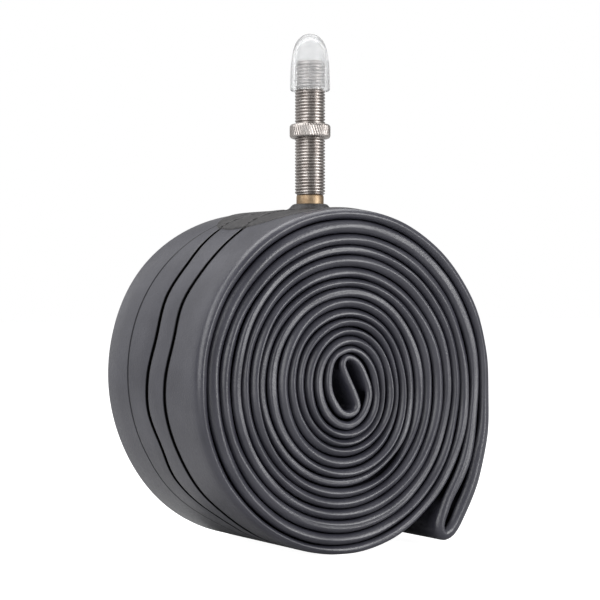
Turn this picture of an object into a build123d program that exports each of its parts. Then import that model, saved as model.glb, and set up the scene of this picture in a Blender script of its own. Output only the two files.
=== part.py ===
from build123d import *

import os
from math import pi, radians, tan

# A bicycle inner tube, pressed flat and rolled up around its middle, with a car-type
# valve. Millimetres, +Z up, the roll lying on its side like a wheel: its axis is along Y
# and the valve points up. The origin is on the table, under the middle of the roll.

# ---- The rubber tube, pressed flat to a strip of two walls
flat_width = 49.0  # from one folded edge to the other
wall = 0.85
air_slit = 0.30  # what is left between the walls

# ---- The roll. The strip is folded double and rolled from the fold, so two arms of the
# spiral wind outwards together. Layers are counted from the core's own loops, layer 0.
last_layer = 14  # the outermost one, over the top
layer_pitch = 2.53
left_slack = 0.24  # how much looser each layer lies on the left
core_rise = 7.08  # from the core's centre to the crest of layer 0
core_reach = 5.70  # from the core's centre to the side of layer 0
core_lean = 23.4  # of the S that joins the two arms, in degrees
core_bend = 1.60  # bend radius at both ends of the S
round_share = 0.98  # of each quarter turn, the rest is straight

# ---- The flap, where the outer fold hangs free beside the roll
flap_drop = 13.5  # below the core's centre, where the outer arm leaves the roll
flap_lean = 24.5  # of the outer arm from the vertical, in degrees
flap_inner_drop = 15.6
flap_inner_lean = 31.5
flap_bend = 1.90  # bend radius of the fold
flap_sweep = 40.0  # bend radius where the arms leave the roll
flap_inner_sweep = 38.0

# ---- Valve stem, thread 8V1
stem_x = 3.2  # ahead of the roll's middle
thread_d = 7.70
thread_end_chamfer = 0.40
stem_length = 38.2
neck_d = 7.00
neck_top = 3.95  # above the stem's foot
foot_d = 8.4
foot_height = 0.7
stem_inset = 0.35  # from the tube's surface up to the foot
chamber_d = 5.30  # takes the valve core's thread
chamber_depth = 7.2
seat_length = 1.9  # the cone that the core's gasket seals in
air_bore_d = 3.80

# ---- Rubber base of the valve
patch_length = 51.0
patch_width = 40.0
patch_thickness = 0.60
boss_top_d = 7.60
boss_height = 2.1
boss_flare = 1.9  # how far the boss spreads into the patch
boss_mid_spread = 0.42  # of its flare, where the hollow of its side passes
boss_mid_height = 0.55  # of its height
tube_hole_d = 4.0

# ---- Rim nut and valve cap, which screw on the stem
thread_clearance = 0.05
nut_d = 10.5
nut_height = 3.7
nut_lift = 18.8  # above the tube's surface
nut_chamfer = 0.45
cap_d = 10.25
cap_length = 14.6
cap_waist_d = 9.10
cap_straight = 6.6
cap_shoulder = 11.0
cap_wall = 1.35
cap_tip_flat = 1.20  # radius of the flat on the dome
cap_dome_spread = 0.76  # of the dome's width, where its side passes
cap_dome_rise = 0.60  # of its height
cap_overlap = 7.5
cap_seat_gap = 0.25

# ---- Valve core, counted down from the stem's rim
core_clearance = 0.05
pin_d = 1.30
pin_drop = 0.40
pin_travel = 1.20
plug_drop = 1.60
plug_length = 4.6
plug_d = chamber_d - 2 * core_clearance
plug_grip = 2.9  # width left between the two flats of its head
plug_grip_length = 1.8
pin_passage_d = 1.80
barrel_d = 3.20
barrel_bore_d = 2.50
barrel_length = 11.0
barrel_neck = 1.2  # how far the barrel reaches up into the plug
barrel_floor = 0.70
barrel_mouth_d = 1.90
gasket_drop = 0.50  # below the plug
gasket_length = 1.7
spring_wire_d = 0.24
spring_d = 2.20
spring_turns = 9
collar_height = 0.50
seal_d = 2.80
seal_height = 0.70
cup_wall = 0.22
cup_grip = 0.42  # how far its side reaches up the seal
pin_tail = 0.60

strip = 2 * wall + air_slit


def rise(layer):
    """Height of a layer's middle over, or its depth under, the core's centre."""
    return core_rise + layer * layer_pitch


def reach_right(layer):
    return core_reach + layer * layer_pitch


def reach_left(layer):
    return core_reach + layer * (layer_pitch + left_slack)


core_x = (reach_left(last_layer - 1) - reach_right(last_layer)) / 2
core_z = rise(last_layer - 1) + strip / 2
surface_z = core_z + rise(last_layer) + strip / 2
foot_z = surface_z + stem_inset
stem_top_z = foot_z + stem_length
plug_top_z = stem_top_z - plug_drop
plug_foot_z = plug_top_z - plug_length
barrel_foot_z = plug_foot_z - barrel_length
nut_z = surface_z + nut_lift
cap_z = stem_top_z - cap_overlap
stem_axis = Axis((stem_x, 0, 0), (0, 0, 1))
stem_section = Plane((stem_x, 0, 0), x_dir=(1, 0, 0), z_dir=(0, -1, 0))


# ---- Middle line of the strip, as corners that are rounded into quarter turns
def over(layer):
    return [(-reach_left(layer - 1), rise(layer)), (reach_right(layer), rise(layer))]


def under(layer):
    return [(reach_right(layer - 1), -rise(layer)), (-reach_left(layer), -rise(layer))]


def quarter_radius(corner):
    return round_share * min(abs(corner[0]), abs(corner[1]))


s_end = (-core_rise * tan(radians(core_lean)), core_rise)
first_arm = [(reach_right(0), rise(0))]
second_arm = [(-reach_left(0), -rise(0))]
for layer in range(1, last_layer + 1):
    first_arm += under(layer) if layer % 2 else over(layer)
for layer in range(1, last_layer):
    second_arm += over(layer) if layer % 2 else under(layer)

tip_z = -rise(last_layer - 1)
outer_run = (-flap_drop - tip_z) * tan(radians(flap_lean))
inner_run = (-flap_inner_drop - tip_z) * tan(radians(flap_inner_lean))
flap = [
    ((reach_right(last_layer), -flap_drop), flap_sweep),
    ((reach_right(last_layer) - outer_run, tip_z), flap_bend),
    ((reach_right(last_layer - 1) - inner_run, tip_z), flap_bend),
    ((reach_right(last_layer - 1), -flap_inner_drop), flap_inner_sweep),
]

turns = [(s_end, core_bend)]
turns += [(corner, quarter_radius(corner)) for corner in first_arm]
turns += flap
turns += [(corner, quarter_radius(corner)) for corner in reversed(second_arm)]
turns += [((-s_end[0], -s_end[1]), core_bend)]
corners = [(core_x + corner[0], core_z + corner[1]) for corner, _ in turns]
radii = [radius for _, radius in turns]


def top_surface(lift):
    """Corners of the roll's outline over the top, at a height above the rubber."""
    left, right = over(last_layer)
    grow = strip / 2 + lift
    outline = [
        (core_x + left[0] - grow, core_z),
        (core_x + left[0] - grow, core_z + left[1] + grow),
        (core_x + right[0] + grow, core_z + right[1] + grow),
        (core_x + right[0] + grow, core_z),
    ]
    return outline, [quarter_radius(left) + grow, quarter_radius(right) + grow]


# ---- Rubber tube: a strip with a round edge each side and an air space inside
with BuildPart() as tube_body:
    with BuildLine(Plane.XZ) as middle_line:
        FilletPolyline(*corners, radius=radii, close=True)
    route = middle_line.wires()[0]
    start = Plane(route @ 0, x_dir=(0, 1, 0), z_dir=route % 0)
    with BuildSketch(start):
        SlotOverall(flat_width, strip)
    sweep(path=route)
    with BuildSketch(start):
        SlotOverall(flat_width - 2 * wall, air_slit)
    sweep(path=route, mode=Mode.SUBTRACT)
    with BuildSketch(Plane.XY.offset(surface_z - wall - air_slit / 2)):
        with Locations((stem_x, 0)):
            Circle(tube_hole_d / 2)
    extrude(amount=2 * wall, mode=Mode.SUBTRACT)
tube_body.part.label = "tube_body"
section = (flat_width - strip) * strip + pi * strip**2 / 4
hollow = flat_width - 2 * wall - air_slit
section -= hollow * air_slit + pi * air_slit**2 / 4
print("middle line", round(route.length, 1), "mm")
print("volume ratio", round(tube_body.part.volume / (section * route.length), 5))

# ---- Valve stem: brass tube with a foot, a smooth neck and the core's seat
chamber_floor_z = stem_top_z - chamber_depth
seat_floor_z = chamber_floor_z - seat_length
with BuildPart() as valve_stem:
    with BuildSketch(stem_section):
        with BuildLine():
            Polyline(
                (air_bore_d / 2, foot_z),
                (foot_d / 2, foot_z),
                (foot_d / 2, foot_z + foot_height),
                (neck_d / 2, foot_z + foot_height),
                (neck_d / 2, foot_z + neck_top),
                (thread_d / 2, foot_z + neck_top),
                (thread_d / 2, stem_top_z - thread_end_chamfer),
                (thread_d / 2 - thread_end_chamfer, stem_top_z),
                (chamber_d / 2, stem_top_z),
                (chamber_d / 2, chamber_floor_z),
                (air_bore_d / 2, seat_floor_z),
                (air_bore_d / 2, foot_z),
            )
        make_face()
    revolve(axis=stem_axis)
valve_stem.part.label = "valve_stem"

# ---- Rubber base: an oval patch that follows the roll, and a boss around the stem
with BuildPart() as valve_base:
    patch_outline, patch_radii = top_surface(patch_thickness)
    with BuildSketch(Plane.XZ):
        with BuildLine():
            FilletPolyline(*patch_outline, radius=patch_radii)
            Line(patch_outline[-1], patch_outline[0])
        make_face()
    extrude(amount=patch_width, both=True)
    with BuildSketch(Plane.XY.offset(core_z)):
        with Locations((stem_x, 0)):
            Ellipse(patch_length / 2, patch_width / 2)
    extrude(amount=stem_top_z, mode=Mode.INTERSECT)
    boss_base_z = surface_z + patch_thickness / 2
    boss_top_z = surface_z + boss_height
    with BuildSketch(stem_section):
        with BuildLine():
            Line((0, surface_z - wall), (0, boss_top_z))
            Line((0, boss_top_z), (boss_top_d / 2, boss_top_z))
            ThreePointArc(
                (boss_top_d / 2, boss_top_z),
                (boss_top_d / 2 + boss_mid_spread * boss_flare, surface_z + boss_mid_height * boss_height),
                (boss_top_d / 2 + boss_flare, boss_base_z),
            )
            Line(
                (boss_top_d / 2 + boss_flare, boss_base_z),
                (boss_top_d / 2 + boss_flare, surface_z - wall),
            )
            Line((boss_top_d / 2 + boss_flare, surface_z - wall), (0, surface_z - wall))
        make_face()
    revolve(axis=stem_axis)
    roll_outline, roll_radii = top_surface(0)
    with BuildSketch(Plane.XZ):
        with BuildLine():
            FilletPolyline(*roll_outline, radius=roll_radii)
            Line(roll_outline[-1], roll_outline[0])
        make_face()
    extrude(amount=patch_width, both=True, mode=Mode.SUBTRACT)
    with BuildSketch(stem_section):
        with BuildLine():
            Polyline(
                (0, surface_z - wall),
                (tube_hole_d / 2, surface_z - wall),
                (tube_hole_d / 2, foot_z),
                (foot_d / 2, foot_z),
                (foot_d / 2, foot_z + foot_height),
                (neck_d / 2, foot_z + foot_height),
                (neck_d / 2, boss_top_z + wall),
                (0, boss_top_z + wall),
                (0, surface_z - wall),
            )
        make_face()
    revolve(axis=stem_axis, mode=Mode.SUBTRACT)
valve_base.part.label = "valve_base"

# ---- Rim nut: runs on the stem's thread and holds the valve in the wheel's rim
with BuildPart() as rim_nut:
    with BuildSketch(Plane((stem_x, 0, nut_z))):
        Circle(nut_d / 2)
        Circle(thread_d / 2 + thread_clearance, mode=Mode.SUBTRACT)
    extrude(amount=nut_height)
    rims = rim_nut.edges().filter_by(GeomType.CIRCLE).group_by(SortBy.RADIUS)[-1]
    chamfer(rims, nut_chamfer)
rim_nut.part.label = "rim_nut"

# ---- Valve cap: bullet-shaped, hollow, open below
cap_bore_r = thread_d / 2 + thread_clearance
cap_shelf_z = stem_top_z + cap_seat_gap
cap_shoulder_z = cap_z + cap_shoulder
cap_top_z = cap_z + cap_length
cap_dome = cap_length - cap_shoulder
cap_curve = cap_waist_d / 2 - cap_tip_flat
with BuildPart() as valve_cap:
    with BuildSketch(stem_section):
        with BuildLine():
            Polyline(
                (cap_bore_r, cap_z),
                (cap_d / 2, cap_z),
                (cap_d / 2, cap_z + cap_straight),
                (cap_waist_d / 2, cap_shoulder_z),
            )
            ThreePointArc(
                (cap_waist_d / 2, cap_shoulder_z),
                (cap_tip_flat + cap_dome_spread * cap_curve, cap_shoulder_z + cap_dome_rise * cap_dome),
                (cap_tip_flat, cap_top_z),
            )
            Polyline(
                (cap_tip_flat, cap_top_z),
                (0, cap_top_z),
                (0, cap_top_z - cap_wall),
                (cap_tip_flat, cap_top_z - cap_wall),
                (cap_waist_d / 2 - cap_wall, cap_shoulder_z),
                (cap_waist_d / 2 - cap_wall, cap_shelf_z),
                (cap_bore_r, cap_shelf_z),
                (cap_bore_r, cap_z),
            )
        make_face()
    revolve(axis=stem_axis)
valve_cap.part.label = "valve_cap"

# ---- Core plug: the threaded head that holds the valve core in the stem
with BuildPart() as core_plug:
    with BuildSketch(Plane((stem_x, 0, plug_foot_z))):
        Circle(plug_d / 2)
    extrude(amount=plug_length - plug_grip_length)
    with BuildSketch(Plane((stem_x, 0, plug_top_z - plug_grip_length))):
        Circle(plug_d / 2 - thread_end_chamfer)
    extrude(amount=plug_grip_length)
    with BuildSketch(Plane((stem_x, 0, plug_top_z - plug_grip_length))):
        Rectangle(plug_d, plug_d)
        Rectangle(plug_d, plug_grip, mode=Mode.SUBTRACT)
    extrude(amount=plug_grip_length, mode=Mode.SUBTRACT)
    with BuildSketch(Plane((stem_x, 0, plug_foot_z))):
        Circle(pin_passage_d / 2)
    extrude(amount=plug_length, mode=Mode.SUBTRACT)
    with BuildSketch(Plane((stem_x, 0, plug_foot_z))):
        Circle(barrel_d / 2 + core_clearance)
    extrude(amount=barrel_neck + core_clearance, mode=Mode.SUBTRACT)
core_plug.part.label = "core_plug"

# ---- Core barrel: brass tube below the plug, its floor open for the pin and the air
with BuildPart() as core_barrel:
    with BuildSketch(Plane((stem_x, 0, barrel_foot_z))):
        Circle(barrel_d / 2)
    extrude(amount=barrel_length + barrel_neck)
    with BuildSketch(Plane((stem_x, 0, barrel_foot_z + barrel_floor))):
        Circle(barrel_bore_d / 2)
    extrude(amount=barrel_length + barrel_neck, mode=Mode.SUBTRACT)
    with BuildSketch(Plane((stem_x, 0, barrel_foot_z))):
        Circle(barrel_mouth_d / 2)
    extrude(amount=barrel_floor, mode=Mode.SUBTRACT)
core_barrel.part.label = "core_barrel"

# ---- Gasket: tapered ring on the barrel, which seals in the stem's cone
gasket_top_z = plug_foot_z - gasket_drop
gasket_foot_z = gasket_top_z - gasket_length


def seat_radius(z):
    """Radius of the stem's cone at a height."""
    share = (chamber_floor_z - z) / seat_length
    share = min(max(share, 0), 1)
    return (chamber_d + share * (air_bore_d - chamber_d)) / 2


with BuildPart() as barrel_gasket:
    with BuildSketch(stem_section):
        with BuildLine():
            Polyline(
                (barrel_d / 2, gasket_foot_z),
                (seat_radius(gasket_foot_z) - core_clearance, gasket_foot_z),
                (seat_radius(gasket_top_z) - core_clearance, gasket_top_z),
                (barrel_d / 2, gasket_top_z),
                (barrel_d / 2, gasket_foot_z),
            )
        make_face()
    revolve(axis=stem_axis)
barrel_gasket.part.label = "barrel_gasket"

# ---- Pin: pressed down to let air in or out, with a collar for the spring
seal_top_z = barrel_foot_z
cup_foot_z = seal_top_z - seal_height - cup_wall
pin_foot_z = cup_foot_z - pin_tail
spring_foot_z = barrel_foot_z + barrel_floor
collar_foot_z = plug_foot_z - 2 * pin_travel
with BuildPart() as core_pin:
    with BuildSketch(Plane((stem_x, 0, pin_foot_z))):
        Circle(pin_d / 2)
    extrude(amount=stem_top_z - pin_drop - pin_foot_z)
    with BuildSketch(Plane((stem_x, 0, collar_foot_z))):
        Circle(spring_d / 2)
    extrude(amount=collar_height)
core_pin.part.label = "core_pin"

# ---- Seal and its cup, at the pin's lower end, drawn up against the barrel's mouth
with BuildPart() as pin_seal:
    with BuildSketch(Plane((stem_x, 0, seal_top_z - seal_height))):
        Circle(seal_d / 2)
        Circle(pin_d / 2, mode=Mode.SUBTRACT)
    extrude(amount=seal_height)
pin_seal.part.label = "pin_seal"

with BuildPart() as pin_seal_cup:
    with BuildSketch(Plane((stem_x, 0, cup_foot_z))):
        Circle(seal_d / 2 + cup_wall)
        Circle(pin_d / 2, mode=Mode.SUBTRACT)
    extrude(amount=cup_wall + cup_grip)
    with BuildSketch(Plane((stem_x, 0, cup_foot_z + cup_wall))):
        Circle(seal_d / 2)
    extrude(amount=seal_height, mode=Mode.SUBTRACT)
pin_seal_cup.part.label = "pin_seal_cup"

# ---- Spring around the pin, between the barrel's floor and the pin's collar
coil_height = collar_foot_z - spring_foot_z - spring_wire_d - 2 * core_clearance
coil_foot_z = spring_foot_z + spring_wire_d / 2 + core_clearance
with BuildPart() as core_spring:
    with BuildLine() as coil:
        Helix(
            pitch=coil_height / spring_turns,
            height=coil_height,
            radius=(spring_d - spring_wire_d) / 2,
            center=(stem_x, 0, coil_foot_z),
        )
    with BuildSketch(Plane(coil.line @ 0, z_dir=coil.line % 0)):
        Circle(spring_wire_d / 2)
    sweep(path=coil.line, is_frenet=True)
core_spring.part.label = "core_spring"

os.makedirs("parts", exist_ok=True)
pieces = [
    tube_body,
    valve_base,
    valve_stem,
    rim_nut,
    valve_cap,
    core_plug,
    core_barrel,
    barrel_gasket,
    core_pin,
    pin_seal,
    pin_seal_cup,
    core_spring,
]
for piece in pieces:
    export_step(piece.part, f"parts/{piece.part.label}.step")
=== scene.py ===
"""The looks of a rolled-up bicycle inner tube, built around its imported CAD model.

Metres, +Z up, in the model's own frame: the roll lies on its side like a wheel, its axis is
along Y and its spiral faces -Y. Angles round the roll are clockwise from straight up, as seen
from the spiral's side. Lengths are written in millimetres and turned into metres by MM.
"""

from math import atan2, cos, degrees, pi, radians, sin, sqrt, tan, tau

import bmesh
import bpy
import numpy as np
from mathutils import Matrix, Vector


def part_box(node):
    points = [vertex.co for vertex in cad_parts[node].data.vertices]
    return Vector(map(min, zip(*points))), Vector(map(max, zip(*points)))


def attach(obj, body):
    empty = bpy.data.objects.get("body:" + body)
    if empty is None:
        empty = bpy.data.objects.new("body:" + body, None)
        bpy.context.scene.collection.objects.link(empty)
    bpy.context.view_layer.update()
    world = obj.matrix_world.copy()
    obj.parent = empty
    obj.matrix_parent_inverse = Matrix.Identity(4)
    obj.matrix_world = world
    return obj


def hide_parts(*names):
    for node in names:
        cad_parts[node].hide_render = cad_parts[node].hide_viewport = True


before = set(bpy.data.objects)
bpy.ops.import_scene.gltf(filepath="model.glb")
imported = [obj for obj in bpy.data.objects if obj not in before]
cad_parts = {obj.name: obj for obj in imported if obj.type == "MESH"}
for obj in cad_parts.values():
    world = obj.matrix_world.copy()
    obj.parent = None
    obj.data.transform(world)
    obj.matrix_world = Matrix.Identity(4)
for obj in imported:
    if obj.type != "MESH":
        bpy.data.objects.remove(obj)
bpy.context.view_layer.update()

MM = 0.001

# ---- Places and sizes that come from the CAD model, in millimetres
tube_low, tube_high = (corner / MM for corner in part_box("tube_body"))
stem_low, stem_high = (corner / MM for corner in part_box("valve_stem"))
nut_low, nut_high = (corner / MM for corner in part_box("rim_nut"))
cap_low, cap_high = (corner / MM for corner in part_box("valve_cap"))

surface_radius = 43.5  # the tube's surface under the valve, from the core's centre
core_shift = 0.3  # of the core to the right of the roll's middle
core_x = (tube_low.x + tube_high.x) / 2 + core_shift
core_z = tube_high.z - surface_radius
half_width = (tube_high.y - tube_low.y) / 2
stem_x = (stem_low.x + stem_high.x) / 2

# ---- The roll: how far each layer's middle is from the core's centre, in the four
# directions, counted from the core's own loops outwards
up = [6.9, 8.8, 11.1, 13.4, 15.6, 17.7, 20.4, 23.0, 25.3, 27.5, 30.7, 33.4, 35.6, 38.9, 42.5]
right = [5.4, 7.5, 9.8, 12.1, 13.9, 16.0, 18.1, 20.8, 23.7, 26.6, 29.8, 32.0, 35.2, 38.5, 41.5]
down = [7.1, 9.7, 11.9, 14.0, 16.0, 18.7, 21.5, 23.3, 26.1, 28.6, 31.3, 34.2, 37.7, 39.9]
left = [5.6, 8.8, 11.6, 14.3, 16.2, 19.0, 21.6, 24.8, 26.6, 29.4, 31.3, 34.6, 37.4, 41.7]

# Places along an arm, in quarter turns from the core
core_turn = 2  # where either arm leaves the core
inner_last_turn = 27  # where the inner arm meets the flap
outer_last_turn = 29
top_turn = 28  # where the outer arm's last turn passes straight over the core
points_per_quarter = 9
outermost_start = (25.9, 26.4)  # over which the outermost turn's own shape starts and ends
outermost_end = (29.3, 29.7)

# The two arms' start and the S that joins them, as (x, z) from the core's centre
core_line = [
    (-3.1, 7.7),
    (-4.8, 6.0),
    (-5.6, 3.1),
    (-5.7, 0.4),
    (-5.2, -2.0),
    (-3.9, -4.4),
    (-2.4, -6.3),
    (-0.3, -7.1),
    (1.6, -6.5),
    (2.4, -5.2),
    (2.3, -4.0),
    (1.2, -1.4),
    (-0.3, 1.4),
    (-1.6, 4.0),
    (-1.9, 5.3),
    (-1.4, 6.6),
    (-0.3, 7.1),
    (1.6, 6.6),
    (3.4, 4.9),
    (4.7, 2.3),
    (5.5, 0.1),
    (5.8, -2.0),
    (5.5, -3.7),
    (4.4, -6.3),
    (2.5, -8.5),
]

# The flap, where the outer fold hangs free, from the outer arm round to the inner one
flap_line = [
    (41.4, -10.7),
    (40.3, -17.1),
    (38.2, -24.2),
    (36.5, -28.1),
    (34.7, -31.6),
    (33.0, -34.6),
    (31.7, -36.5),
    (30.3, -37.8),
    (28.7, -38.3),
    (27.6, -37.6),
    (27.2, -36.2),
    (27.5, -34.4),
    (28.6, -31.9),
    (29.4, -30.0),
    (30.5, -28.0),
    (32.0, -25.4),
    (33.5, -22.5),
    (34.7, -19.8),
    (35.6, -17.0),
    (36.5, -13.5),
    (37.3, -9.0),
]

# ---- The strip's section
half_strip = 1.0  # half its thickness where nothing presses on it
fill_strip = 1.75  # half its thickness at most, where it fills a loose place
touch_gap = 0.05  # what is left between two layers that touch
free_gap = (4.2, 5.2)  # between two layers' middles, over which they go from pressed to free
painted_shadow_gap = (4.0, 4.8)  # and over which the painted shadow between them goes
loose_swell = 0.5  # what a layer gains on each side in a loose place
loose_reach = 1.2  # how much wider both gaps are there
rim_looseness = 0.6
rim_radii = (33, 36)  # over which the layers near the rim get that loose
edge_inset = 0.5  # of the folded edges, on average
edge_reach = 1.6  # how far the folded edge takes to reach full thickness
edge_power = 1.6  # 2 is a round edge, 1 a straight roof
edge_crowding = 0.9  # below 1, the steps of its curve lie closer towards the flat
outer_crest = -0.45  # the outermost turn's crest lies this far inside the strip's middle

# The outermost turn's free side, from its crest to its flat, as (depth in from the crest,
# share of the way out): a slope, then a shoulder. It is shallower at the right.
free_edge = [(0.04, 0.13), (0.20, 0.32), (0.62, 0.66), (1.15, 0.86), (2.10, 0.96), (3.70, 1.00)]
free_edge_right = 0.6
free_edge_turn = (-10, 50)  # angles over which it gets shallower
free_back = 1.0  # how much further its back edge reaches in
split_depth = 0.40  # of the groove that runs along some stretches of the folded edge
split_width = 0.75
split_power = 1.5
split_range = (0.2, 0.8)  # of its ripple, from no groove to the whole one
edge_room = 2.6  # what a folded edge takes of the strip's width
front_steps = len(free_edge)
back_steps = 5
back_steps_inside = 4
lines_inside = 5  # along the strip's inner flat

# How much painted shade the folded edge gets, from its crest down between two layers, where the
# shadow between them falls
painted_gap_shade = [0, 0, 0, 0, 0.35, 1.0]

# How the edges wander along the loop, as (share of its length, height, phase)
front_ripples = ((1 / 23, 0.28, 0.4), (1 / 55, 0.16, 2.0), (1 / 132, 0.07, 1.1))
back_ripples = ((1 / 27, 0.28, 1.4), (1 / 61, 0.16, 0.3))
crest_ripples = ((1 / 37, 0.16, 0.9), (1 / 83, 0.08, 2.2))
split_ripples = ((1 / 7, 1.0, 0.7), (1 / 13, 0.6, 2.1))

# The thin crescent that stands open below the core
opening_depth = 0.70  # how far each of its faces draws back
opening_angle = 152
opening_spread = 21
opening_radius = 19.4  # at the right
opening_growth = 0.059  # of that radius, for each degree on
opening_width = 0.8

# Where the last layers swell beside the flap, as angles and distances from the core
beside_start = (70, 85)
beside_end = (128, 140)
beside_radii = (28, 31)
outside_start = (70, 90)
outside_radii = (42, 43.5)

# ---- Creases on the outermost turn, half their widths, and their lines as (angle, y)
fold_width = 0.70
crease_width = 0.45
seam_width = 0.22
fold_line = [
    (-165, -9.0),
    (-139, -6.3),
    (-133, -3.2),
    (-123, -0.3),
    (-110, -1.0),
    (-98, 1.0),
    (-87, 0.2),
    (-75, -1.7),
    (-60, 0.0),
    (-47, 0.0),
    (-37, 1.9),
    (-25, 4.0),
    (-14, 2.9),
    (10, 1.5),
    (60, 0.5),
]
crease_line = [
    (-165, -15.0),
    (-135, -12.0),
    (-129, -10.3),
    (-114, -8.9),
    (-93, -7.8),
    (-88, -8.3),
    (-75, -10.1),
    (-62, -8.5),
    (-50, -9.0),
    (-40, -8.5),
    (-27, -6.3),
    (-21, -4.4),
    (10, -5.0),
    (60, -6.0),
]
seam_line = [
    (-165, -2.0),
    (-147, 0.2),
    (-135, 6.0),
    (-113, 9.0),
    (-70, 10.5),
    (-26, 9.0),
    (10, 8.5),
    (60, 8.5),
]

# Each as (line, half width, depth, height of the lips beside it, painted shade down in it)
creases = (
    (fold_line, fold_width, 0.55, 0.10, 1.0),
    (crease_line, crease_width, 0.40, 0.05, 1.0),
    (seam_line, seam_width, 0.12, 0.0, 0.7),
)
across_valley = (-1, -0.6, 0.6, 1)  # where lines run along a crease, in its half widths
valley_slope = 2.0
# within this many half widths of its line, a crease gets its painted shade
painted_shade_reach = 1.05
lip_place = 1.8
lip_width = 0.6
pillow_height = 0.12  # of the rubber between the two creases
pillow_edge = 0.6
crease_start = (-162, -146)  # angles over which the creases rise and die out
crease_end = (20, 50)

# The back of the outermost turn stands further out, as (angle, spread, height)
bulges = ((-50, 36, 1.70), (-100, 40, 0.55))
bulge_reach = (-14, 16)  # over which y it rises

# ---- Valve
patch_half_length = 25.5
patch_half_width = 20.0
patch_height = 0.36
patch_sink = 0.12  # of its edge into the tube
patch_edge = 0.7  # over which it thins out
patch_edge_flat = 0.05
patch_relief = 0.8  # share of the tube's creases that shows through it
boss_foot = (4.4, 7.0)  # radii over which the boss settles on the tube
thread_pitch = 0.794
thread_depth = 0.48
thread_heights = [0.0, 0.45, 0.88, 1.0, 1.0, 1.0, 0.88, 0.45]  # round one pitch, from the root
# painted shade in the thread's roots, for the same steps round one pitch
painted_thread_shades = [0.30, 0.12, 0.0, 0.0, 0.0, 0.0, 0.0, 0.12]
thread_start = 0.5  # length over which it rises at the neck
thread_end = 0.7
stem_radius = 3.85
neck_radius = 3.5
neck_top = stem_low.z + 3.95
chamber_radius = 2.65
chamber_depth = 7.2
seat_length = 1.9
air_bore_radius = 1.9
mouth_chamfer = 0.25
mouth_rim = 0.3
slide_gap = 0.06  # between the thread and what runs on it


# ---- Curves
def hermite(knots, values, x):
    """A smooth curve through (knots, values), read at x."""
    knots, values, x = np.asarray(knots, float), np.asarray(values, float), np.asarray(x, float)
    slopes = np.gradient(values, knots)
    i = np.clip(np.searchsorted(knots, x) - 1, 0, len(knots) - 2)
    span = knots[i + 1] - knots[i]
    t = np.clip((x - knots[i]) / span, 0, 1)
    return (
        (2 * t**3 - 3 * t**2 + 1) * values[i]
        + (t**3 - 2 * t**2 + t) * span * slopes[i]
        + (3 * t**2 - 2 * t**3) * values[i + 1]
        + (t**3 - t**2) * span * slopes[i + 1]
    )


def line_y(line, angle):
    """Where a crease lies across the strip, at an angle in degrees."""
    angles, ys = zip(*line)
    return hermite(angles, ys, angle)


def ramp(x, start, end):
    """0 before start, 1 after end, smooth in between."""
    t = np.clip((np.asarray(x, float) - start) / (end - start), 0, 1)
    return t * t * (3 - 2 * t)


def ripple(x, *waves):
    """A sum of sines of x, each given as (length, height, phase)."""
    return sum(height * np.sin(tau * x / length + phase) for length, height, phase in waves)


# ---- The strip's middle line
def arm_radii(first):
    """An arm's distance from the core, quarter turn by quarter turn."""
    order = [up, right, down, left] if first else [down, left, up, right]
    radii = []
    for quarter in range((outer_last_turn if first else inner_last_turn) + 1):
        layer = 2 * (quarter // 4) + (quarter % 4 > 1)
        radii.append(order[quarter % 4][layer])
    return radii


outer_arm = arm_radii(True)
inner_arm = arm_radii(False)


def arm_point(radii, quarter, start_angle):
    """A point of an arm as (x, z, turn), where turn is the quarter, less than 0 on the inner arm."""
    radius = float(hermite(range(len(radii)), radii, quarter))
    angle = radians(start_angle + 90 * quarter)
    return (radius * sin(angle), radius * cos(angle), quarter if start_angle == 0 else -quarter)


def middle_points():
    """The closed line's corners: inner arm inwards, S, outer arm outwards, flap."""
    step = 1 / points_per_quarter
    inwards = np.arange(inner_last_turn, core_turn - step / 2, -step)
    outwards = np.arange(core_turn, outer_last_turn + step / 2, step)
    inner = [arm_point(inner_arm, quarter, 180) for quarter in inwards]
    outer = [arm_point(outer_arm, quarter, 0) for quarter in outwards]
    core_step = 2 * core_turn / (len(core_line) + 1)
    core = [(x, z, -core_turn + core_step * (i + 1)) for i, (x, z) in enumerate(core_line)]
    flap_start = outer_last_turn + 0.1
    flap = [(x, z, flap_start + i / len(flap_line)) for i, (x, z) in enumerate(flap_line)]
    return np.array(inner + core + outer + flap)


def smooth_loop(points, per_span=10):
    """A centripetal Catmull-Rom curve through a closed list of points."""
    before, after, beyond = np.roll(points, 1, 0), np.roll(points, -1, 0), np.roll(points, -2, 0)

    def knot(a, b):
        return np.sqrt(np.linalg.norm((b - a)[:, :2], axis=1))[:, None]

    t1 = knot(before, points)
    t2 = t1 + knot(points, after)
    t3 = t2 + knot(after, beyond)
    out = []
    for k in range(per_span):
        t = t1 + (t2 - t1) * k / per_span
        a1 = (t1 - t) / t1 * before + t / t1 * points
        a2 = (t2 - t) / (t2 - t1) * points + (t - t1) / (t2 - t1) * after
        a3 = (t3 - t) / (t3 - t2) * after + (t - t2) / (t3 - t2) * beyond
        b1 = (t2 - t) / t2 * a1 + t / t2 * a2
        b2 = (t3 - t) / (t3 - t1) * a2 + (t - t1) / (t3 - t1) * a3
        out.append((t2 - t) / (t2 - t1) * b1 + (t - t1) / (t2 - t1) * b2)
    return np.stack(out, 1).reshape(-1, points.shape[1])


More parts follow.
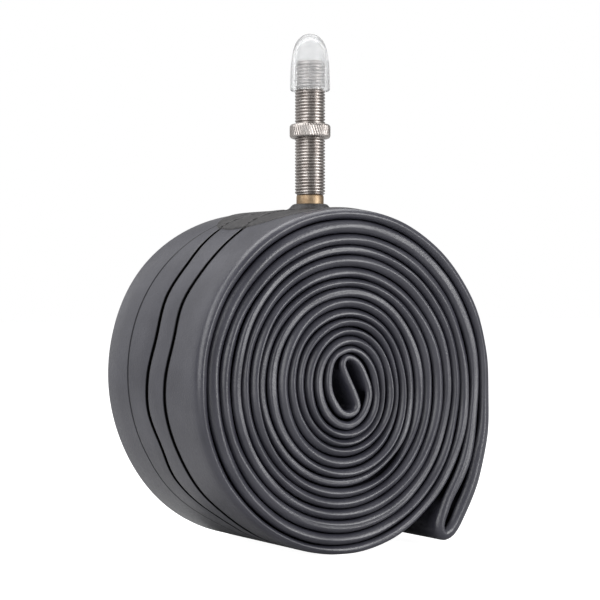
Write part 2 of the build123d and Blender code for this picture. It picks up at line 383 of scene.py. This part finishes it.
def stations(line, shortest=0.25, longest=1.4, turn=0.16, reach=6):
    """Points along a closed line, closer together where it bends, and their distance along it."""
    closed = np.vstack([line, line[:1]])
    length = np.concatenate([[0], np.cumsum(np.linalg.norm(np.diff(closed[:, :2], axis=0), axis=1))])
    ahead = np.roll(line, -reach, 0)[:, :2] - line[:, :2]
    behind = line[:, :2] - np.roll(line, reach, 0)[:, :2]
    cross = ahead[:, 0] * behind[:, 1] - ahead[:, 1] * behind[:, 0]
    bend = np.abs(np.arctan2(cross, (ahead * behind).sum(1)))
    radius = np.linalg.norm(ahead, axis=1) / np.maximum(bend, 1e-6)
    step = np.clip(turn * radius, shortest, longest)
    count_so_far = np.concatenate([[0], np.cumsum(np.diff(length) / step)])
    count = int(round(count_so_far[-1]))
    places = np.interp(np.arange(count) * count_so_far[-1] / count, count_so_far, length)
    columns = [np.interp(places, length, closed[:, i]) for i in range(3)]
    return np.stack(columns, 1), places, length[-1]


def neighbour_gaps(points, normals, tangents, places, total, abreast=0.9, same_layer=3.0, far=20.0):
    """How far the next layer's middle is on either side of each station."""
    ahead_gap, behind_gap = [], []
    for i in range(len(points)):
        away = points - points[i]
        along = np.abs(away @ tangents[i])
        off = away @ normals[i]
        apart = np.abs(places - places[i])
        apart = np.minimum(apart, total - apart)
        near = (along < abreast) & (apart > same_layer)
        ahead_gap.append(np.min(off[near & (off > 0)], initial=far))
        behind_gap.append(np.min(-off[near & (off < 0)], initial=far))
    return np.array(ahead_gap), np.array(behind_gap)


def half_thickness(gap, loose):
    """The strip fills its half of the gap up to a limit, and springs back in the open."""
    filled = np.minimum(fill_strip + loose_swell * loose, gap / 2 - touch_gap)
    free = half_strip + loose_swell * loose
    return filled + (free - filled) * ramp(gap - loose_reach * loose, *free_gap)


def touching(gap, loose):
    """1 where the next layer lies close by, 0 in the open: the weight of the painted shadow between
    them.
    """
    return 1 - ramp(gap - loose_reach * loose, *painted_shadow_gap)


def outermost(turn):
    """1 on the outermost turn, from where the last layer but one leaves off to the flap's tip."""
    return ramp(turn, *outermost_start) * (1 - ramp(turn, *outermost_end))


def around_core(points):
    """The angle round the core, in degrees, and the distance from it."""
    return np.degrees(np.arctan2(points[:, 0], points[:, 1])), np.hypot(*points.T)


def loose_side(points):
    """1 beside the flap, where the last layers swell to fill the looser roll."""
    angle, radius = around_core(points)
    between = ramp(angle, *beside_start) * (1 - ramp(angle, *beside_end))
    outside = ramp(angle, *outside_start) * ramp(radius, *outside_radii)
    return np.maximum(between * ramp(radius, *beside_radii), outside)


def settled(values, window=4):
    """The lowest value nearby, then averaged, on a closed line."""
    low = np.min([np.roll(values, k) for k in range(-window, window + 1)], axis=0)
    return np.mean([np.roll(low, k) for k in range(-window, window + 1)], axis=0)


# ---- Meshes
def mesh_object(name, vertices, faces, material, body, painted_shade=None):
    """A smooth-shaded object from vertices in millimetres, riding on a body."""
    mesh = bpy.data.meshes.new(name)
    mesh.from_pydata((np.asarray(vertices) * MM).tolist(), [], faces)
    mesh.polygons.foreach_set("use_smooth", [True] * len(mesh.polygons))
    mesh.materials.append(material)
    # painted shade per vertex, which the material darkens by
    if painted_shade is not None:
        mesh.attributes.new("painted_shade", "FLOAT", "POINT").data.foreach_set("value", painted_shade)
    mesh.update()
    piece = bpy.data.objects.new(name, mesh)
    bpy.context.collection.objects.link(piece)
    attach(piece, body)
    return piece


def merge(piece, distance=0.002):
    """Joins vertices that lie on each other, and removes the faces that this flattens."""
    work = bmesh.new()
    work.from_mesh(piece.data)
    bmesh.ops.remove_doubles(work, verts=work.verts, dist=distance * MM)
    bmesh.ops.recalc_face_normals(work, faces=work.faces)
    work.to_mesh(piece.data)
    work.free()


def grid_faces(rows, columns, close_rows, close_columns):
    """Quads over a grid of vertices, numbered row by row."""
    faces = []
    for i in range(rows if close_rows else rows - 1):
        for j in range(columns if close_columns else columns - 1):
            k, m = (i + 1) % rows, (j + 1) % columns
            faces.append((i * columns + j, i * columns + m, k * columns + m, k * columns + j))
    return faces


# ---- The tube
def crease_depth(y, line_at, width, depth, lip):
    """A pinched crease across the strip: a narrow valley with a low lip on either side."""
    away = np.abs(y - line_at) / width
    lips = np.exp(-(((away - lip_place) * width / lip_width) ** 2))
    return -depth * np.clip(valley_slope * (1 - away), 0, 1) + lip * lips


def crease_fade(angle):
    """The creases run over the top and the left of the outermost turn and die out."""
    return ramp(angle, *crease_start) * (1 - ramp(angle, *crease_end))


def outer_relief(angle, y):
    """How far the outermost turn's surface stands off its smooth shape."""
    relief = sum(
        crease_depth(y, line_y(line, angle), width, depth, lip)
        for line, width, depth, lip, _ in creases
    )
    fold_y, crease_y = line_y(fold_line, angle), line_y(crease_line, angle)
    near_crease = ramp(y, crease_y, crease_y + pillow_edge)
    between = near_crease * (1 - ramp(y, fold_y - pillow_edge, fold_y))
    return crease_fade(angle) * (relief + pillow_height * between)


def painted_crease_shade(angle, y):
    """Painted shade: 1 down in a crease, where its shadow falls, and 0 on the open surface."""
    painted_shade = 0.0
    for line, width, _, _, strength in creases:
        away = np.abs(y - line_y(line, angle)) / width
        painted_shade = np.maximum(painted_shade, strength * (away < painted_shade_reach))
    return crease_fade(angle) * painted_shade


def back_bulge(angle, y):
    """The back of the outermost turn stands further out, most of all at the upper left."""
    out = sum(height * np.exp(-(((angle - at) / spread) ** 2)) for at, spread, height in bulges)
    return ramp(y, *bulge_reach) * out


def edge_curve(reach, crest, thickness, steps):
    """A folded edge from its crest to the strip's flat: (depth in from the crest, offset)."""
    turns = [pi / 2 * (k / steps) ** edge_crowding for k in range(1, steps + 1)]
    bend = 2 / edge_power
    return [
        (reach * (1 - max(cos(a), 0) ** bend), crest + (thickness - crest) * sin(a) ** bend)
        for a in turns
    ]


def across_flat(angle):
    """The y of the lines that run along the strip's outer flat, front to back."""
    fold_y, crease_y = float(line_y(fold_line, angle)), float(line_y(crease_line, angle))
    seam_y = float(line_y(seam_line, angle))
    front, back = edge_room - half_width, half_width - edge_room
    crease_side, fold_side, seam_front, seam_back = 1.0, 1.1, 0.5, 0.6
    first_gap, last_gap = crease_y - crease_side - front, back - seam_y - seam_back
    lines = [front + first_gap * 0.30, front + first_gap * 0.62, crease_y - crease_side]
    lines += [crease_y + crease_width * k for k in across_valley]
    lines += [crease_y + crease_side, (crease_y + fold_y) / 2, fold_y - fold_side]
    lines += [fold_y + fold_width * k for k in across_valley]
    lines += [fold_y + fold_side, (fold_y + seam_y) / 2, seam_y - seam_front]
    lines += [seam_y + seam_width * k for k in (-1, 0, 1)]
    lines += [seam_y + seam_back, seam_y + seam_back + last_gap * 0.45]
    return np.array(lines)


def tube_section(turn, lap, ahead, behind, ahead_touch, behind_touch):
    """The strip's closed outline at a station, as (offset ahead, y, painted shade)."""
    outer = float(outermost(turn))
    angle = 90 * (turn - top_turn)
    shown = min(max(angle, fold_line[0][0]), fold_line[-1][0])
    crest = outer * outer_crest
    front = -half_width + ripple(lap, *front_ripples) + edge_inset
    back = half_width - ripple(lap, *back_ripples) - edge_inset
    split = split_depth * (1 - outer) * float(ramp(ripple(lap, *split_ripples), *split_range))
    crest += (1 - outer) * ripple(lap, *crest_ripples)

    def groove(n):
        return split * max(0.0, 1 - abs(n - crest) / split_width) ** split_power

    points = [(crest, front + groove(crest))]
    depth_share = 1 + (free_edge_right - 1) * float(ramp(angle, *free_edge_turn))
    edge = edge_curve(edge_reach, crest, ahead, front_steps)
    for (d, n), (free_d, share) in zip(edge, free_edge):
        n += outer * (crest + (ahead - crest) * share - n)
        d += outer * (free_d * depth_share - d)
        points.append((n, front + d + groove(n)))
    lines = across_flat(shown)
    offsets, painted_shades = np.full(len(lines), ahead), np.zeros(len(lines))
    bulge = 0.0
    if outer > 0:
        offsets += outer * (outer_relief(angle, lines) + back_bulge(angle, lines))
        bulge = outer * float(back_bulge(angle, half_width))
        painted_shades += outer * painted_crease_shade(angle, lines)
    points += list(zip(offsets, lines))
    edge = edge_curve(edge_reach + outer * free_back, crest, ahead + bulge, back_steps)
    points += [(n, back - d) for d, n in reversed(edge)]
    points.append((crest, back))
    edge = edge_curve(edge_reach, crest, -behind, back_steps_inside)
    points += [(n, back - d) for d, n in edge]
    spacing = 2 / (lines_inside + 1)
    points += [(-behind, half_width * (1 - spacing * k)) for k in range(1, lines_inside + 1)]
    edge = edge_curve(edge_reach, crest, -behind, front_steps)
    points += [(n, front + d + groove(n)) for d, n in reversed(edge)]
    first_line = front_steps + 1
    # Painted shade: down between two touching layers on the folded edges, and in the outermost turn's
    # creases
    painted_shade = np.zeros(len(points))
    painted_shade[1:first_line] = np.array(painted_gap_shade) * ahead_touch * (1 - outer)
    painted_shade[first_line : first_line + len(lines)] = painted_shades
    painted_shade[-front_steps:] = np.array(painted_gap_shade[::-1]) * behind_touch
    return [(n, y, k) for (n, y), k in zip(points, painted_shade)]


def opening(points, reach):
    """1 on the two faces of the thin crescent that stands open below the core."""
    angle, radius = around_core(points)
    angle = np.where(angle < 0, angle + 360, angle)
    middle = opening_radius + opening_growth * (angle - 90)
    lengthwise = np.exp(-(((angle - opening_angle) / opening_spread) ** 2))
    return lengthwise * np.exp(-(((radius + reach - middle) / opening_width) ** 2))


def make_tube(material):
    """One closed loop: a section at each station of the strip's middle line, joined by quads."""
    line, places, total = stations(smooth_loop(middle_points()))
    points, turns = line[:, :2], line[:, 2]
    turns[np.argmax(turns) :] = np.max(turns)
    tangents = np.roll(points, -1, 0) - np.roll(points, 1, 0)
    tangents /= np.linalg.norm(tangents, axis=1)[:, None]
    normals = np.stack([-tangents[:, 1], tangents[:, 0]], 1)
    ahead, behind = neighbour_gaps(points, normals, tangents, places, total)
    outward = np.where(turns > 0, 1, -1)
    ahead_open = opening(points, outward * ahead / 2)
    behind_open = opening(points, -outward * behind / 2)
    loose = loose_side(points)
    rim = rim_looseness * ramp(np.hypot(*points.T), *rim_radii)
    ahead_loose = np.maximum(loose, rim * (1 - outermost(turns)))
    behind_loose = np.maximum(loose, rim)
    ahead_touch, behind_touch = touching(ahead, ahead_loose), touching(behind, behind_loose)
    ahead = settled(half_thickness(ahead, ahead_loose)) - opening_depth * ahead_open
    behind = settled(half_thickness(behind, behind_loose)) - opening_depth * behind_open
    vertices, painted_shades = [], []
    for i, (x, z) in enumerate(points):
        lap = places[i] / total
        thickness = ahead[i], behind[i], ahead_touch[i], behind_touch[i]
        for offset, y, painted_shade in tube_section(turns[i], lap, *thickness):
            px, pz = np.array([x, z]) + offset * normals[i]
            vertices.append((core_x + px, y, core_z + pz))
            painted_shades.append(painted_shade)
    columns = len(vertices) // len(points)
    faces = grid_faces(len(points), columns, True, True)
    tube = mesh_object("inner_tube", vertices, faces, material, "tube", painted_shades)
    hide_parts("tube_body")
    return tube


# ---- The valve's rubber base
boss_profile = [
    (3.52, 0.9),
    (3.54, 1.9),
    (3.70, 2.12),
    (4.05, 2.14),
    (4.45, 1.98),
    (4.85, 1.62),
    (5.20, 1.20),
    (5.60, 0.86),
    (6.20, 0.62),
    (7.00, 0.50),
]


def flat_radius(angle):
    """The distance from the core's centre to the outermost turn's flat."""
    quarter = top_turn + angle / 90
    return float(hermite(range(len(outer_arm)), outer_arm, quarter)) + half_strip


def surface_height(across):
    """How high the tube's flat lies above the core's centre, at a place beside the stem."""
    angle = degrees(atan2(stem_x - core_x + across, surface_radius))
    return flat_radius(angle) * cos(radians(angle))


def make_valve_base(material, columns=300, rings=64):
    """The boss round the stem and the oval patch, as columns of vertices from the stem outwards."""
    vertices, painted_shades = [], []
    foot = surface_height(0.0)
    for j in range(columns):
        a = tau * j / columns
        edge = 1 / sqrt((cos(a) / patch_half_length) ** 2 + (sin(a) / patch_half_width) ** 2)
        for r, height in boss_profile:
            share = float(ramp(r, *boss_foot))
            z = foot * (1 - share) + surface_height(r * cos(a)) * share + height
            vertices.append((stem_x + r * cos(a), r * sin(a), core_z + z))
            painted_shades.append(0.0)
        start = boss_profile[-1][0]
        for k in range(1, rings + 1):
            reach = start + (edge - start) * k / rings
            along, y = reach * cos(a), reach * sin(a)
            round_core = (stem_x - core_x + along) / surface_radius
            angle = degrees(round_core)
            rim = 1 - float(ramp(reach, edge - patch_edge, edge - patch_edge_flat))
            radius = flat_radius(angle) + patch_height * rim - patch_sink * (1 - rim)
            radius += patch_relief * float(outer_relief(angle, y)) + float(back_bulge(angle, y))
            x, z = core_x + radius * sin(round_core), core_z + radius * cos(round_core)
            vertices.append((x, y, z))
            # painted shade of the tube's creases, showing through the patch
            painted_shades.append(patch_relief * float(painted_crease_shade(angle, y)) * rim)
    rows = len(boss_profile) + rings
    faces = grid_faces(columns, rows, True, False)
    base = mesh_object("valve_base_rubber", vertices, faces, material, "tube", painted_shades)
    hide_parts("valve_base")
    return base


# ---- Turned parts
def turned(name, profile, material, body, columns=96, closed=True, shape=None):
    """A profile of (radius, z) turned round the stem's axis. shape(radius, z, angle) moves points."""
    vertices = []
    for j in range(columns):
        a = tau * j / columns
        for r, z in profile:
            if shape is not None:
                r, z = shape(r, z, a)
            vertices.append((stem_x + r * cos(a), r * sin(a), z))
    faces = grid_faces(columns, len(profile), True, closed)
    return mesh_object(name, vertices, faces, material, body)


def make_stem(material, columns=64, rows_per_turn=len(thread_heights)):
    """The threaded length of the stem, with its bore. Rows of vertices follow the helix."""
    top, foot = stem_high.z, neck_top
    turns = (top - foot) / thread_pitch
    last = int(turns * rows_per_turn) + 1
    rows = list(range(-rows_per_turn, last + 1))
    bore = [
        (chamber_radius + mouth_chamfer + mouth_rim, top),
        (chamber_radius + mouth_chamfer, top),
        (chamber_radius, top - mouth_chamfer),
        (chamber_radius, top - chamber_depth),
        (air_bore_radius, top - chamber_depth - seat_length),
        (air_bore_radius, foot),
    ]
    vertices, painted_shade = [], []
    for j in range(columns):
        a = tau * j / columns
        for k in rows:
            z = min(max(foot + thread_pitch * (k / rows_per_turn + j / columns), foot), top)
            full = float(ramp(z, foot, foot + thread_start) * (1 - ramp(z, top - thread_end, top)))
            r = stem_radius - thread_depth * (1 - full * thread_heights[k % rows_per_turn])
            vertices.append((stem_x + r * cos(a), r * sin(a), z))
            # painted shade, darkest in the thread's root
            painted_shade.append(painted_thread_shades[k % rows_per_turn])
        vertices += [(stem_x + r * cos(a), r * sin(a), z) for r, z in bore]
        painted_shade += [0.0] * len(bore)
    column = len(rows) + len(bore)
    faces = grid_faces(columns, column, False, True)
    seam = (columns - 1) * column
    for k in range(column):
        m = (k + 1) % column
        if k < len(rows) - 1:
            low, high = (min(row + rows_per_turn, len(rows) - 1) for row in (k, m))
        else:
            low, high = k, m
        faces.append((seam + k, seam + m, high, low))
    stem = mesh_object("valve_stem_thread", vertices, faces, material, "tube", painted_shade)
    merge(stem)
    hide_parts("valve_stem")
    return stem


def make_neck(material):
    """The stem's bare neck and the foot inside the rubber."""
    foot, foot_radius = stem_low.z, 4.2
    profile = [
        (air_bore_radius, foot),
        (foot_radius - 0.1, foot),
        (foot_radius, foot + 0.1),
        (foot_radius, foot + 0.6),
        (neck_radius, foot + 0.7),
        (neck_radius, foot + 1.2),
        (neck_radius, neck_top - 0.35),
        (neck_radius - 0.12, neck_top - 0.05),
        (neck_radius - 0.25, neck_top),
        (air_bore_radius, neck_top),
    ]
    neck = turned("valve_stem_neck", profile, material, "tube")
    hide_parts("valve_stem")
    return neck


def make_nut(material):
    """The round nut, with a slanted knurl between its two chamfers."""
    low, high, radius = nut_low.z, nut_high.z, (nut_high.x - nut_low.x) / 2
    bore, ridges, slant = stem_radius + slide_gap, 50, tan(radians(16.5))
    knurl_depth, columns_per_ridge, steps = 0.17, 8, 12
    chamfer_height, chamfer_depth, bore_chamfer = 0.55, 0.75, 0.4
    side = [
        (radius - chamfer_depth, low),
        (radius - 0.30, low + 0.18),
        (radius - 0.06, low + chamfer_height),
    ]
    band_low = low + chamfer_height + 0.1
    band_height = high - low - 2 * chamfer_height - 0.2
    band = [(radius, band_low + band_height * k / steps) for k in range(steps + 1)]
    mirrored = [(r, low + high - z) for r, z in reversed(side)]
    profile = [(bore, low), (bore + bore_chamfer, low)] + side + band + mirrored
    profile += [(bore + bore_chamfer, high), (bore, high), (bore, (low + high) / 2)]

    def cut(r, z, a):
        if r < radius - 0.2:
            return r, z
        phase = ridges * (a + slant * (z - low) / radius) / tau
        return r - knurl_depth * abs(2 * (phase % 1.0) - 1) ** 0.8, z

    columns = ridges * columns_per_ridge
    nut = turned("rim_nut_knurled", profile, material, "rim_nut", columns, True, cut)
    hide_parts("rim_nut")
    return nut


def make_cap(material):
    """The bullet cap: a smooth dome outside, and a bore with eight narrow grooves inside.

    The dome's radius is a curve over the square root of the depth from its tip.
    """
    low, high = cap_low.z, cap_high.z
    root_depth = [0.0, 0.87, 1.39, 1.92, 2.79, sqrt(high - low)]
    radii = [0.0, 2.3, 3.4, 4.15, 4.85, 5.1]
    bore, wall, ledge = stem_radius + slide_gap, 1.35, stem_high.z + 0.25
    grooves, first_groove, groove_depth, groove_edges = 8, radians(-125), 0.45, (2.0, 6.0)
    rim_height, bore_steps = 0.5, 16

    def dome_radius(root):
        return float(hermite(root_depth, radii, root))

    roots = np.linspace(0.0, sqrt(high - low - rim_height), 44)
    outside = [(dome_radius(root), high - root * root) for root in roots]
    rim = [(5.06, low + 0.28), (4.92, low + 0.08), (4.70, low)]
    rim += [(bore + 0.35, low), (bore + 0.1, low + 0.12)]
    bore_low, bore_height = low + 0.3, ledge - low - 0.4
    inside = [(bore, bore_low + bore_height * k / bore_steps) for k in range(bore_steps + 1)]
    top_inside = high - wall
    roots = np.linspace(sqrt(top_inside - ledge), 0.0, 20)
    narrower = bore / dome_radius(roots[0])
    ceiling = [(dome_radius(root) * narrower, top_inside - root * root) for root in roots]
    profile = outside + rim + inside + ceiling

    def groove(r, z, a):
        if not (low + 0.2 < z < ledge and abs(r - bore) < 0.01):
            return r, z
        away = abs(((a - first_groove) / (tau / grooves) + 0.5) % 1.0 - 0.5) * 360 / grooves
        return r + groove_depth * (1 - float(ramp(away, *groove_edges))), z

    cap = turned("valve_cap_clear", profile, material, "valve_cap", 120, False, groove)
    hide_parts("valve_cap")
    return cap


# ---- Materials
noise_roughness = 0.55
tint_range = (0.35, 0.65)  # of the noise, from the first colour to the second
# the near black that painted shade darkens a colour towards
painted_shade_black = (0.001, 0.001, 0.001, 1)


class Material:
    """A node material and short ways to add to it."""

    def __init__(self, name, **sockets):
        self.data = bpy.data.materials.new(name)
        self.data.use_nodes = True
        self.nodes, self.links = self.data.node_tree.nodes, self.data.node_tree.links
        self.shader = self.nodes["Principled BSDF"]
        for socket, value in sockets.items():
            self.shader.inputs[socket.replace("_", " ")].default_value = value
        self.place = self.nodes.new("ShaderNodeTexCoord").outputs["Object"]

    def link(self, output, socket):
        self.links.new(output, self.shader.inputs[socket])

    def noise(self, scale, detail):
        """Noise of 0 to 1, at a scale per metre."""
        texture = self.nodes.new("ShaderNodeTexNoise")
        texture.inputs["Scale"].default_value = scale
        texture.inputs["Detail"].default_value = detail
        texture.inputs["Roughness"].default_value = noise_roughness
        self.links.new(self.place, texture.inputs["Vector"])
        return texture.outputs["Fac"]

    def colours(self, factor, low, high):
        """From one colour to another as the factor goes through the tint range."""
        node = self.nodes.new("ShaderNodeValToRGB")
        first, last = node.color_ramp.elements
        first.position, last.position = tint_range
        first.color, last.color = (*low, 1), (*high, 1)
        self.links.new(factor, node.inputs["Fac"])
        return node.outputs["Color"]

    def values(self, factor, low, high):
        """A number that goes from low to high as the factor goes from 0 to 1."""
        node = self.nodes.new("ShaderNodeMapRange")
        node.inputs["To Min"].default_value = low
        node.inputs["To Max"].default_value = high
        self.links.new(factor, node.inputs["Value"])
        return node.outputs["Result"]

    def painted_shade(self):
        """The mesh's painted shade: 1 deep in a gap or crease, 0 in the open."""
        attribute = self.nodes.new("ShaderNodeAttribute")
        attribute.attribute_name = "painted_shade"
        return attribute.outputs["Fac"]

    def with_painted_shade(self, colour):
        """The colour with painted shade: near black where the mesh's painted shade is 1."""
        mix = self.nodes.new("ShaderNodeMix")
        mix.data_type = "RGBA"
        self.links.new(self.painted_shade(), mix.inputs["Factor"])
        self.links.new(colour, mix.inputs[6])
        mix.inputs[7].default_value = painted_shade_black
        return mix.outputs[2]

    def unlit(self, level):
        """No gloss where the mesh's painted shade is 1, to go with it."""
        self.link(self.values(self.painted_shade(), level, 0.0), "Specular IOR Level")

    def bump(self, height, strength, distance):
        """Bumps of a height in metres."""
        node = self.nodes.new("ShaderNodeBump")
        node.inputs["Strength"].default_value = strength
        node.inputs["Distance"].default_value = distance
        self.links.new(height, node.inputs["Height"])
        self.link(node.outputs["Normal"], "Normal")


def butyl_rubber():
    """Black with a blue cast, its gloss broken up by a fine grain."""
    made = Material("butyl_rubber", IOR=1.58)
    tint = made.colours(made.noise(90, 4), (0.026, 0.026, 0.036), (0.041, 0.041, 0.053))
    # painted shade between the layers and in the creases, with their gloss taken off
    made.link(made.with_painted_shade(tint), "Base Color")
    made.unlit(0.5)
    made.link(made.values(made.noise(1300, 4), 0.20, 0.46), "Roughness")
    made.bump(made.noise(2200, 2), 0.7, 0.00008)
    return made.data


def patch_rubber():
    """Rougher and duller than the tube, with a cloth-like grain."""
    made = Material("patch_rubber")
    tint = made.colours(made.noise(900, 5), (0.013, 0.0125, 0.014), (0.034, 0.032, 0.033))
    # painted shade of the tube's creases, showing through the patch
    made.link(made.with_painted_shade(tint), "Base Color")
    made.unlit(0.32)
    made.link(made.values(made.noise(700, 4), 0.42, 0.62), "Roughness")
    made.bump(made.noise(1500, 5), 0.5, 0.00012)
    return made.data


def nickel():
    """Satin plate, with painted shade in the roots of the thread."""
    made = Material("nickel_plate", Metallic=1.0)
    tint = made.colours(made.noise(400, 4), (0.33, 0.298, 0.28), (0.46, 0.43, 0.41))
    made.link(made.with_painted_shade(tint), "Base Color")
    made.link(made.values(made.noise(900, 4), 0.26, 0.40), "Roughness")
    made.bump(made.noise(3000, 3), 0.1, 0.00002)
    return made.data


def brass():
    """Unplated and a little tarnished."""
    made = Material("bare_brass", Metallic=1.0)
    tint = made.colours(made.noise(700, 5), (0.24, 0.165, 0.10), (0.37, 0.275, 0.18))
    made.link(tint, "Base Color")
    made.link(made.values(made.noise(900, 4), 0.42, 0.62), "Roughness")
    made.bump(made.noise(2500, 3), 0.15, 0.00003)
    return made.data


def clear_plastic():
    """Clear moulded plastic with a slight haze."""
    made = Material("clear_plastic", IOR=1.20, Transmission_Weight=0.82, Specular_IOR_Level=0.2)
    tint = made.colours(made.noise(300, 3), (0.79, 0.795, 0.80), (0.86, 0.865, 0.87))
    made.link(tint, "Base Color")
    made.link(made.values(made.noise(500, 3), 0.10, 0.20), "Roughness")
    made.bump(made.noise(500, 3), 0.15, 0.00005)
    return made.data


def steel():
    """Bright spring wire."""
    made = Material("spring_steel", Metallic=1.0)
    tint = made.colours(made.noise(500, 3), (0.45, 0.45, 0.46), (0.60, 0.60, 0.61))
    made.link(tint, "Base Color")
    made.link(made.values(made.noise(900, 3), 0.22, 0.36), "Roughness")
    return made.data


def seal_rubber():
    """Red, as a valve core's seals are."""
    made = Material("seal_rubber", Roughness=0.55)
    tint = made.colours(made.noise(800, 3), (0.20, 0.03, 0.025), (0.28, 0.05, 0.04))
    made.link(tint, "Base Color")
    made.bump(made.noise(2500, 3), 0.2, 0.00004)
    return made.data


def give_material(node, material):
    """A CAD node's own material slots take the material."""
    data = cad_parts[node].data
    if not data.materials:
        data.materials.append(material)
    for slot in range(len(data.materials)):
        data.materials[slot] = material


# ---- Camera, floor and light
camera_turn = radians(31.36)  # to the left of the spiral's front
camera_distance = 448.2
camera_height = 19.72  # over the roll's middle
camera_aside = 0.16


def make_camera():
    """Level, and well to the left of the spiral's front."""
    ahead = Vector((sin(camera_turn), cos(camera_turn), 0))
    aside = Vector((cos(camera_turn), -sin(camera_turn), 0))
    data = bpy.data.cameras.new("camera")
    data.lens, data.sensor_width, data.clip_start = 105.3, 36, 0.01
    camera = bpy.data.objects.new("camera", data)
    bpy.context.collection.objects.link(camera)
    place = camera_aside * aside - camera_distance * ahead
    place.z = tube_high.z / 2 + camera_height
    camera.location = place * MM
    camera.rotation_euler = (pi / 2, 0, -camera_turn)
    bpy.context.scene.camera = camera


def make_floor():
    """Pale to the eye, and dimmer as a light under the roll."""
    made = Material("floor", Roughness=0.9, Base_Color=(0.45, 0.45, 0.45, 1))
    made.shader.inputs["Emission Color"].default_value = (1, 1, 1, 1)
    path, glow = made.nodes.new("ShaderNodeLightPath"), made.nodes.new("ShaderNodeMath")
    glow.operation = "MULTIPLY"
    glow.inputs[1].default_value = 0.96
    made.links.new(path.outputs["Is Camera Ray"], glow.inputs[0])
    made.link(glow.outputs[0], "Emission Strength")
    mesh = bpy.data.meshes.new("floor")
    reach = 4.0
    corners = [(-reach, -reach, 0), (reach, -reach, 0), (reach, reach, 0), (-reach, reach, 0)]
    mesh.from_pydata(corners, [], [(0, 1, 2, 3)])
    mesh.materials.append(made.data)
    floor = bpy.data.objects.new("floor", mesh)
    bpy.context.collection.objects.link(floor)


softbox_aim = 0.06  # height, in metres


def softbox(name, azimuth, elevation, distance, size, power):
    """A light aimed at the valve's foot. Azimuth 0 is in front of the spiral, and 90 at its left."""
    data = bpy.data.lights.new(name, "AREA")
    data.shape, data.size, data.size_y, data.energy = "RECTANGLE", *size, power
    light = bpy.data.objects.new(name, data)
    bpy.context.collection.objects.link(light)
    a, e = radians(azimuth), radians(elevation)
    away = Vector((-sin(a) * cos(e), -cos(a) * cos(e), sin(e)))
    light.location = Vector((0, 0, softbox_aim)) + distance * away
    light.rotation_euler = away.to_track_quat("Z", "Y").to_euler()


def make_world():
    """White where it is looked at, dimmer as a light."""
    world = bpy.data.worlds.new("studio")
    bpy.context.scene.world = world
    world.use_nodes = True
    nodes, links = world.node_tree.nodes, world.node_tree.links
    dim, white = nodes["Background"], nodes.new("ShaderNodeBackground")
    for background, strength in ((dim, 0.35), (white, 1.0)):
        background.inputs["Color"].default_value = (1, 1, 1, 1)
        background.inputs["Strength"].default_value = strength
    path, seen = nodes.new("ShaderNodeLightPath"), nodes.new("ShaderNodeMath")
    seen.operation = "MAXIMUM"
    links.new(path.outputs["Is Camera Ray"], seen.inputs[0])
    links.new(path.outputs["Is Transmission Ray"], seen.inputs[1])
    mix = nodes.new("ShaderNodeMixShader")
    links.new(seen.outputs[0], mix.inputs["Fac"])
    links.new(dim.outputs[0], mix.inputs[1])
    links.new(white.outputs[0], mix.inputs[2])
    links.new(mix.outputs[0], nodes["World Output"].inputs["Surface"])


make_camera()
make_world()
make_floor()
softbox("left_softbox", 66, 12, 0.75, (0.44, 0.8), 3.65)
softbox("right_softbox", -30, 14, 0.75, (0.34, 0.8), 6.2)
softbox("high_softbox", 95, 48, 0.80, (0.40, 0.7), 3.0)
softbox("back_softbox", 158, 18, 0.90, (0.8, 0.7), 0.9)
softbox("top_softbox", 200, 72, 0.8, (0.9, 0.6), 6.0)
bpy.context.scene.view_settings.view_transform = "Standard"

nickel_plate, bare_brass, red_rubber = nickel(), brass(), seal_rubber()
make_tube(butyl_rubber())
make_valve_base(patch_rubber())
make_stem(nickel_plate)
make_neck(bare_brass)
make_nut(nickel_plate)
make_cap(clear_plastic())
for node in ("core_plug", "core_barrel", "core_pin", "pin_seal_cup"):
    give_material(node, bare_brass)
give_material("core_spring", steel())
for node in ("barrel_gasket", "pin_seal"):
    give_material(node, red_rubber)
